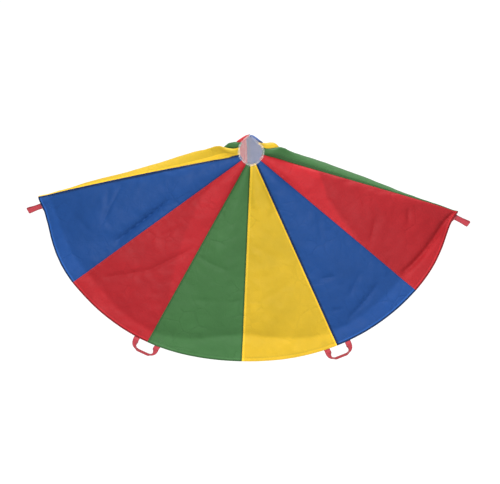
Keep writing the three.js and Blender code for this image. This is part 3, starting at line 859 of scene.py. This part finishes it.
def net_tree():
    """A flat net of six-sided gaps, cut to a round."""
    tree, add, given = node_tree("Net", (
        ("Radius", "Float"), ("Half pitch", "Float"), ("Row pitch", "Float"), ("Width", "Float"),
        ("Height", "Float"), ("Columns", "Int"), ("Rows", "Int"), ("Gap", "Float"), ("Thickness", "Float"),
        ("Netting", "Material")))
    lattice = add("GeometryNodeMeshGrid", {
        "Size X": given["Width"], "Size Y": given["Height"],
        "Vertices X": given["Columns"], "Vertices Y": given["Rows"]})
    place = add("GeometryNodeInputPosition")
    parts = add("ShaderNodeSeparateXYZ", {"Vector": place})
    row = add("ShaderNodeMath", {0: parts.outputs["Y"], 1: given["Row pitch"]}, operation="DIVIDE")
    row = add("ShaderNodeMath", {0: row}, operation="ROUND")
    odd = add("ShaderNodeMath", {0: row, 1: 2.0}, operation="FLOORED_MODULO")
    aside = add("ShaderNodeMath", {0: odd, 1: given["Half pitch"]}, operation="MULTIPLY")
    step = add("ShaderNodeCombineXYZ", {"X": aside})
    staggered = add("GeometryNodeSetPosition", {"Geometry": lattice, "Offset": step})
    triangles = add("GeometryNodeTriangulate", {"Mesh": staggered}, quad_method="SHORTEST_DIAGONAL")
    cells = add("GeometryNodeDualMesh", {"Mesh": triangles})
    far = add("ShaderNodeVectorMath", {0: place}, operation="LENGTH").outputs["Value"]
    outside = add("ShaderNodeMath", {0: far, 1: given["Radius"]}, operation="GREATER_THAN")
    kept = add("GeometryNodeDeleteGeometry", {"Geometry": cells, "Selection": outside}, domain="FACE")
    framed = add("GeometryNodeExtrudeMesh", {
        "Mesh": kept, "Offset Scale": 0.0, "Individual": True}, mode="FACES")
    inner = framed.outputs["Top"]
    shrunk = add("GeometryNodeScaleElements", {
        "Geometry": framed, "Selection": inner, "Scale": given["Gap"]}, domain="FACE")
    flat = add("GeometryNodeDeleteGeometry", {"Geometry": shrunk, "Selection": inner}, domain="FACE")
    raised = add("GeometryNodeExtrudeMesh", {
        "Mesh": flat, "Offset Scale": given["Thickness"], "Individual": False}, mode="FACES")
    turned = add("GeometryNodeFlipFaces", {"Mesh": flat})
    both = add("GeometryNodeJoinGeometry", {"Geometry": raised})
    fill(both, {"Geometry": turned})
    closed = add("GeometryNodeMergeByDistance", {"Geometry": both, "Distance": 0.01 * MM})
    end_tree(add, closed, given["Netting"])
    return tree


def lines_mesh(name, lines):
    """Open lines of points as one mesh of edges."""
    mesh = bpy.data.meshes.new(name)
    starts = np.cumsum([0] + [len(line) for line in lines])
    edges = [(s + i, s + i + 1) for s, line in zip(starts, lines) for i in range(len(line) - 1)]
    mesh.from_pydata(np.concatenate(lines).tolist(), edges, [])
    return mesh


def sew(name, lines, thread, material):
    """One piece of stitches along lines, riding on the canopy."""
    mesh = through_tree(name, lines_mesh(name, lines), stitch_tree(), {
        "Pitch": thread.pitch, "Length": thread.length, "Diameter": thread.diameter, "Thread": material})
    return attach(new_object(name, mesh), "canopy")


def gore_colour(gore):
    return GORES[gore].split("_")[2]


class PARACHUTE_OT_gores(bpy.types.Operator):
    """Makes the gores of the canopy, with their folded seams and hem"""

    bl_idname = "parachute.gores"
    bl_label = "Gores"

    def execute(self, context):
        canopy = context.scene.parachute.canopy
        cloth, pattern = Cloth(canopy), GorePattern(canopy)
        for gore, node in enumerate(GORES):
            colour = gore_colour(gore)
            title = f"{colour}_nylon_taffeta"
            material = bpy.data.materials.get(title) or nylon_taffeta(title, getattr(canopy, colour))
            piece = new_object(f"{node}_cloth", pattern.mesh(f"{node}_cloth", gore, cloth))
            piece.data.materials.append(material)
            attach(piece, "canopy")
            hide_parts(node)
            wide, length, area = pattern.cut(gore)
        return {"FINISHED"}


class PARACHUTE_OT_vent(bpy.types.Operator):
    """Makes the net of the vent and sews it down"""

    bl_idname = "parachute.vent"
    bl_label = "Vent net"

    NET_INSET = 1 * MM
    SPARE_COLUMNS = 4  # cells past the round, which are cut off
    ROWS_PER_COLUMN = 1.16  # rows lie closer together
    RING_STEPS = 241
    RING_INSET, RING_LEVEL = 4 * MM, 0.9 * MM  # ring of stitches inside the rim and over it
    TURN_ROUNDS = 4  # enough to find where the gathered rim has turned to

    def execute(self, context):
        settings = context.scene.parachute
        vent = settings.vent
        material = polyester_net("white_polyester_net", vent.colour)
        thread = polyester_thread("white_polyester_thread", vent.colour)
        rim = VENT_RADIUS - self.NET_INSET
        columns = math.ceil(2 * rim / vent.pitch) + self.SPARE_COLUMNS
        rows = math.ceil(columns * self.ROWS_PER_COLUMN)
        row_pitch = vent.pitch * math.sin(math.pi / 3)
        gap = 1 - vent.strand / vent.pitch
        flat = through_tree("vent_net_round", bpy.data.meshes.new("vent_net_round"), net_tree(), {
            "Radius": rim, "Half pitch": vent.pitch / 2, "Row pitch": row_pitch, "Gap": gap,
            "Columns": columns, "Rows": rows, "Width": vent.pitch * (columns - 1),
            "Height": row_pitch * (rows - 1), "Thickness": vent.thickness, "Netting": material})
        self.hang(flat, vent.dome)
        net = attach(new_object("vent_net_round", flat), "canopy")
        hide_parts("vent_net")
        ring = rim_at(np.linspace(0, GORE_COUNT, self.RING_STEPS), self.RING_INSET, self.RING_LEVEL)
        sewing = sew("vent_stitches", [ring], settings.thread, thread)
        return {"FINISHED"}

    def hang(self, mesh, dome):
        """Domes the flat net, draws its top into the rim's peak and sets it in the vent's plane."""
        points = np.zeros(len(mesh.vertices) * 3, np.float32)
        mesh.vertices.foreach_get("co", points)
        x, y, z = points.reshape(-1, 3).T.astype(float)
        out = np.hypot(x, y) / VENT_RADIUS
        angle = np.arctan2(y, x) - FIRST_SEAM
        turn = angle
        for _ in range(self.TURN_ROUNDS):
            turn = angle - VENT_GATHER * np.cos(turn)
        across, up = rim_pull(turn / (2 * math.pi) * GORE_COUNT)
        z = z + dome * np.clip(1 - out ** 2, 0, 1)
        hung = vent_plane(x + across * out ** 2, y + up * out ** 2, z)
        mesh.vertices.foreach_set("co", hung.astype(np.float32).ravel())
        mesh.update()


class PARACHUTE_OT_sewing(bpy.types.Operator):
    """Sews the seams and the hem, on both faces of the cloth"""

    bl_idname = "parachute.sewing"
    bl_label = "Seam and hem stitches"

    SEAM_STEPS = 260
    SEAM_START = 0.02  # share of the way down
    SEAM_END = 20 * MM  # above the hem's edge
    FIRST_ROW = 2 * MM  # from the seam's folded edge
    HEM_STEPS = 120
    HEM_START = 0.01  # share of a gore
    HEM_ROW = 3 * MM  # from the hem's inner edge
    PROUD = 0.1 * MM  # thread over the cloth

    def execute(self, context):
        settings = context.scene.parachute
        canopy, thread = settings.canopy, settings.thread
        cloth = Cloth(canopy)
        lines = {}
        face = canopy.thickness / 2
        seam_levels = (face + GorePattern.RISE, -GorePattern.DIVE - face)
        hem_levels = (face + self.PROUD, -2 * canopy.hem_roll - face - self.PROUD)
        for gore in range(GORE_COUNT):
            rows = lines.setdefault(gore_colour(gore), [])
            seam = np.full(self.SEAM_STEPS, float(gore))
            share = np.linspace(self.SEAM_START, 1, self.SEAM_STEPS)
            share = np.minimum(share, 1 - self.SEAM_END / seam_length(seam))
            width = gore_width(seam, share)
            for past in (self.FIRST_ROW, self.FIRST_ROW + thread.seam_rows):
                for level in seam_levels:
                    row = cloth.point(seam + past / width, share, level, gore)
                    rows.append(row[:np.argmax(share) + 1])
            along = np.linspace(gore + self.HEM_START, gore + 1, self.HEM_STEPS)
            reach = np.full_like(along, canopy.hem_width - self.HEM_ROW)
            rows += [cloth.above_hem(along, reach, level, gore) for level in hem_levels]
        for colour, rows in lines.items():
            material = polyester_thread(f"{colour}_polyester_thread", getattr(canopy, colour))
            piece = sew(f"{colour}_seam_stitches", rows, thread, material)
        return {"FINISHED"}


class PARACHUTE_OT_handles(bpy.types.Operator):
    """Makes the webbing handles and the boxed crosses that hold their ends"""

    bl_idname = "parachute.handles"
    bl_label = "Webbing handles"

    LEG_STEPS = 28
    SEWN_STEPS = 10
    BRIDGE_STEPS = 8
    PROFILE_STEPS = 9
    PROFILE_POWER = 6  # how square the strap's edges are
    LEVEL = -3.0 * MM  # middle of the strap under the cloth
    HEM_CLEAR = 1 * MM  # the sewn end stops this far inside the hem's edge
    BESIDE = 4 * MM  # step across the strap, for its slope
    ROLL = math.radians(102)  # how far the strap of an open loop has turned on edge at its grip
    ROLL_RATE = 1.5  # it has done so before the grip starts
    LAYER_GAP = 0.15 * MM  # half the gap between the layers of a closed loop
    BEND_REACH = 9 * MM  # the strap bends this far to both sides of the swinging line
    BOX_ENDS, BOX_SIDES = 4 * MM, 3.5 * MM  # from the strap's ends and sides to the sewn box
    BOX_STEPS = 14
    BOX_LEVEL = 0.25 * MM  # thread over the cloth's middle
    PROUD = 0.1 * MM  # thread over the strap

    def execute(self, context):
        settings = context.scene.parachute
        handle, thread = settings.handle, settings.thread
        cloth = Cloth(settings.canopy)
        material = nylon_webbing("red_nylon_webbing", handle.colour, handle.width)
        mounts = {m["name"]: m for m in frame["record"]["mounts"]}
        crosses = {}
        for joint in frame["joints"]:
            body = joint["child"]
            seam = 2 * (int(body.split("_")[1]) - 1)
            closed = any(seam == corner[0] for corner in TIP_CORNERS)
            middle, x = np.array(joint["pos_m"], float), np.array(joint["axis"], float)
            if closed:
                away = hem_at(np.array(float(seam))) - rim_at(np.array(float(seam)))
            else:
                away = np.array(mounts[f"{body}_grip"]["pos_m"], float) - middle
            y = unit(away - x * (away @ x))
            loop = self.closed_loop(handle) if closed else self.open_loop(handle)
            axes = np.stack([x, y, np.cross(x, y)])
            loop = [(middle + centre @ axes, across @ axes) for centre, across in loop]
            first, last = (self.sewn_end(seam, hand, handle, cloth) for hand in (1, -1))
            last.reverse()
            stations = first + self.bridge(first, loop) + loop + self.bridge(loop, last) + last
            strap = new_object(f"{body}_strap", self.webbing(f"{body}_strap", stations, handle))
            strap.data.materials.append(material)
            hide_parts(f"{body}_end_before", f"{body}_end_after", f"{body}_loop")
            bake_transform(strap)
            for colour, line in self.boxed_crosses(seam, handle, cloth):
                crosses.setdefault(colour, []).append(line)
        for colour, lines in crosses.items():
            title = f"{colour}_polyester_thread"
            thread_material = bpy.data.materials.get(title) or polyester_thread(title, handle.colour)
            sewing = sew(f"{colour}_cross_stitches", lines, thread, thread_material)
        return {"FINISHED"}

    @staticmethod
    def beside(seam, hand):
        """The gore on one side of a seam, and the seam's place counted with that gore."""
        if hand < 0:
            seam = seam or GORE_COUNT
            return seam - 1, seam
        return seam, seam

    def sewn_end(self, seam, hand, handle, cloth):
        """Stations under the hem, from the strap's end out to the hem's edge: centre and way across."""
        gore, seam = self.beside(seam, hand)
        reach = np.linspace(handle.sewn_length, self.HEM_CLEAR, self.SEWN_STEPS)
        place = np.full_like(reach, seam + hand * handle.spread / 2 / GORE_WIDTH)
        centre = cloth.above_hem(place, reach, self.LEVEL, gore)
        beside = cloth.above_hem(place + hand * self.BESIDE / GORE_WIDTH, reach, self.LEVEL, gore)
        return [(c, unit(b - c)) for c, b in zip(centre, beside)]

    def open_loop(self, handle):
        """Stations in the handle's own frame: legs that leave the hem flat and turn on edge, and a grip."""
        half = handle.spread / 2
        inwards = half - handle.grip_length / 2
        leg = []
        for step in range(self.LEG_STEPS + 1):
            angle = step / self.LEG_STEPS * math.pi / 2
            heading = math.atan2(handle.loop_depth * math.cos(angle), inwards * math.sin(angle))
            turn = smooth(self.ROLL_RATE * step / self.LEG_STEPS) * self.ROLL
            centre = (-half + inwards * (1 - math.cos(angle)), handle.loop_depth * math.sin(angle), 0)
            across = (-math.sin(heading) * math.cos(turn), math.cos(heading) * math.cos(turn), math.sin(turn))
            leg.append((np.array(centre), np.array(across)))
        mirror = np.array([-1, 1, 1])
        return leg + [(centre * mirror, across * mirror) for centre, across in reversed(leg)]

    def closed_loop(self, handle):
        """Stations in the handle's own frame: two layers that lie together and part round an eye."""
        layer = handle.thickness / 2 + self.LAYER_GAP
        eye = handle.closed_length - handle.eye_radius - handle.thickness / 2
        across = np.array([-1.0, 0, 0])
        reach = np.linspace(0, eye, self.LEG_STEPS)
        parted = smooth((reach - handle.eye_start) / (eye - handle.eye_start))
        leg = [(0, y, z) for y, z in zip(reach, layer + (handle.eye_radius - layer) * parted)]
        bend = [(0, eye + handle.eye_radius * math.sin(a), handle.eye_radius * math.cos(a))
                for a in np.linspace(0, math.pi, self.LEG_STEPS)[1:-1]]
        back = [(x, y, -z) for x, y, z in reversed(leg)]
        return [(np.array(centre, float), across) for centre in leg + bend + back]

    def bridge(self, before, after):
        """Stations of a smooth run from the last of some stations to the first of others."""
        (start, start_across), (end, end_across) = before[-1], after[0]
        length = np.linalg.norm(end - start)
        leave, arrive = (unit(b[0] - a[0]) * length for a, b in (before[-2:], after[:2]))
        run = []
        for t in np.linspace(0, 1, self.BRIDGE_STEPS)[1:-1]:
            centre = ((2 * t ** 3 - 3 * t ** 2 + 1) * start + (t ** 3 - 2 * t ** 2 + t) * leave
                      + (3 * t ** 2 - 2 * t ** 3) * end + (t ** 3 - t ** 2) * arrive)
            run.append((centre, unit(start_across * (1 - t) + end_across * t)))
        return run

    def webbing(self, name, stations, handle):
        """A closed strap through stations, with rounded edges."""
        a = np.linspace(-1, 1, self.PROFILE_STEPS)
        bulge = (1 - np.abs(a) ** self.PROFILE_POWER) ** 0.5
        ring = np.concatenate([np.stack([a, bulge], -1), np.stack([a[::-1], -bulge[::-1]], -1)[1:-1]])
        ring = ring * (handle.width / 2, handle.thickness / 2)
        centre, across = (np.array(part) for part in zip(*stations))
        face = unit(np.cross(np.gradient(centre, axis=0), across))
        points = centre[:, None] + across[:, None] * ring[None, :, :1] + face[:, None] * ring[None, :, 1:]
        run = np.concatenate([[0], np.cumsum(np.linalg.norm(np.diff(centre, axis=0), axis=1))])
        rows, columns = points.shape[:2]
        index = np.arange(rows * columns).reshape(rows, columns)
        turned = np.roll(index, -1, axis=1)
        faces = np.stack([index[:-1], turned[:-1], turned[1:], index[1:]], -1).reshape(-1, 4).tolist()
        faces += [index[0][::-1].tolist(), index[-1].tolist()]
        places = np.stack(np.broadcast_arrays(ring[None, :, 0], run[:, None]), -1)
        return cut_mesh(name, points, faces, places, STRAP_CORNER)

    def boxed_crosses(self, seam, handle, cloth):
        """Colours and lines of the boxes with diagonals that hold both ends, on the cloth and the strap."""
        reach = (self.BOX_ENDS, handle.sewn_length - self.BOX_ENDS)
        aside = handle.width / 2 - self.BOX_SIDES
        under = self.LEVEL - handle.thickness / 2 - self.PROUD
        t = np.linspace(0, 1, self.BOX_STEPS)
        for hand in (1, -1):
            gore, place_of_seam = self.beside(seam, hand)
            left, right = (hand * handle.spread / 2 + side * aside for side in (-1, 1))
            corners = [(left, reach[0]), (right, reach[0]), (right, reach[1]), (left, reach[1])]
            runs = [(corners[i], corners[(i + 1) % 4]) for i in range(4)]
            runs += [(corners[0], corners[2]), (corners[1], corners[3])]
            for colour, level in ((gore_colour(gore), self.BOX_LEVEL), ("webbing", under)):
                for (from_side, from_reach), (to_side, to_reach) in runs:
                    place = place_of_seam + (from_side + (to_side - from_side) * t) / GORE_WIDTH
                    inset = from_reach + (to_reach - from_reach) * t
                    yield colour, cloth.above_hem(place, inset, level, gore)


class PARACHUTE_OT_stage(bpy.types.Operator):
    """Makes the floor, the light and the camera"""

    bl_idname = "parachute.stage"
    bl_label = "Stage"

    AIM = Vector((-4.4 * MM, -188.5 * MM, -326.4 * MM))  # what the middle of the picture shows
    FLOOR_HALF = 40.0
    SENSOR = 36  # millimetres
    ROOM_LIGHT, SEEN_LIGHT = 0.35, 1.0  # of the white room, on the cloth and as the camera sees it
    LAMPS = (  # name, place, size, watts
        ("key_light", (-0.8, -3.0, 4.4), 1.6, 300),
        ("fill_light", (2.6, -4.6, 1.6), 3.0, 65),
        ("back_light", (0.5, 4.2, 3.4), 3.0, 400),
    )

    def execute(self, context):
        stage = context.scene.parachute.stage
        context.scene.view_settings.view_transform = "Standard"

        half = self.FLOOR_HALF
        corners = [(-half, -half), (half, -half), (half, half), (-half, half)]
        mesh = bpy.data.meshes.new("floor")
        mesh.from_pydata([(x, y, -stage.floor_drop) for x, y in corners], [], [(0, 1, 2, 3)])
        mesh.materials.append(white_floor("white_floor", stage.floor))
        new_object("floor", mesh)

        world = bpy.data.worlds.new("studio")
        context.scene.world = world
        world.use_nodes = True
        tree = world.node_tree
        add = partial(add_node, tree)
        strength = add("ShaderNodeMapRange", {
            "Value": any_ray(add, "Camera", "Glossy"), "To Min": self.ROOM_LIGHT, "To Max": self.SEEN_LIGHT})
        fill(tree.nodes["Background"], {"Color": (1, 1, 1, 1), "Strength": strength})

        for name, place, size, watts in self.LAMPS:
            lamp = bpy.data.lights.new(name, "AREA")
            lamp.shape = "DISK"
            lamp.size = size
            lamp.energy = watts
            self.aim(new_object(name, lamp), Vector(place))

        camera = bpy.data.cameras.new("camera")
        camera.sensor_width = self.SENSOR
        camera.lens = stage.lens
        elevation = stage.camera_elevation
        eye = Vector((0, -math.cos(elevation), math.sin(elevation))) * stage.camera_distance
        context.scene.camera = self.aim(new_object("camera", camera), eye)
        return {"FINISHED"}

    def aim(self, made, place):
        """Sets a lamp or the camera in its place, turned to the middle of the picture."""
        made.location = place
        made.rotation_euler = (self.AIM - place).to_track_quat("-Z", "Y").to_euler()
        return made


class PARACHUTE_PT_panel(bpy.types.Panel):
    """Settings of the parachute and the steps that make it"""

    bl_idname = "PARACHUTE_PT_panel"
    bl_label = "Play Parachute"
    bl_space_type = "VIEW_3D"
    bl_region_type = "UI"
    bl_category = "Parachute"

    def draw(self, context):
        settings = context.scene.parachute
        for title in ("canopy", "vent", "handle", "thread", "stage"):
            group = getattr(settings, title)
            box = self.layout.box()
            box.label(text=title.capitalize())
            for name in group.__annotations__:
                box.prop(group, name)
        for step in STEPS:
            self.layout.operator(step.bl_idname)


SETTINGS = (CanopySettings, VentSettings, HandleSettings, ThreadSettings, StageSettings, ParachuteSettings)
STEPS = (PARACHUTE_OT_gores, PARACHUTE_OT_vent, PARACHUTE_OT_sewing, PARACHUTE_OT_handles, PARACHUTE_OT_stage)
CLASSES = (*SETTINGS, *STEPS, PARACHUTE_PT_panel)


def register():
    for cls in CLASSES:
        bpy.utils.register_class(cls)
    bpy.types.Scene.parachute = PointerProperty(type=ParachuteSettings)


def unregister():
    del bpy.types.Scene.parachute
    for cls in reversed(CLASSES):
        bpy.utils.unregister_class(cls)


def main():
    register()
    for step in STEPS:
        area, name = step.bl_idname.split(".")
        getattr(getattr(bpy.ops, area), name)()


if __name__ == "__main__":
    main()
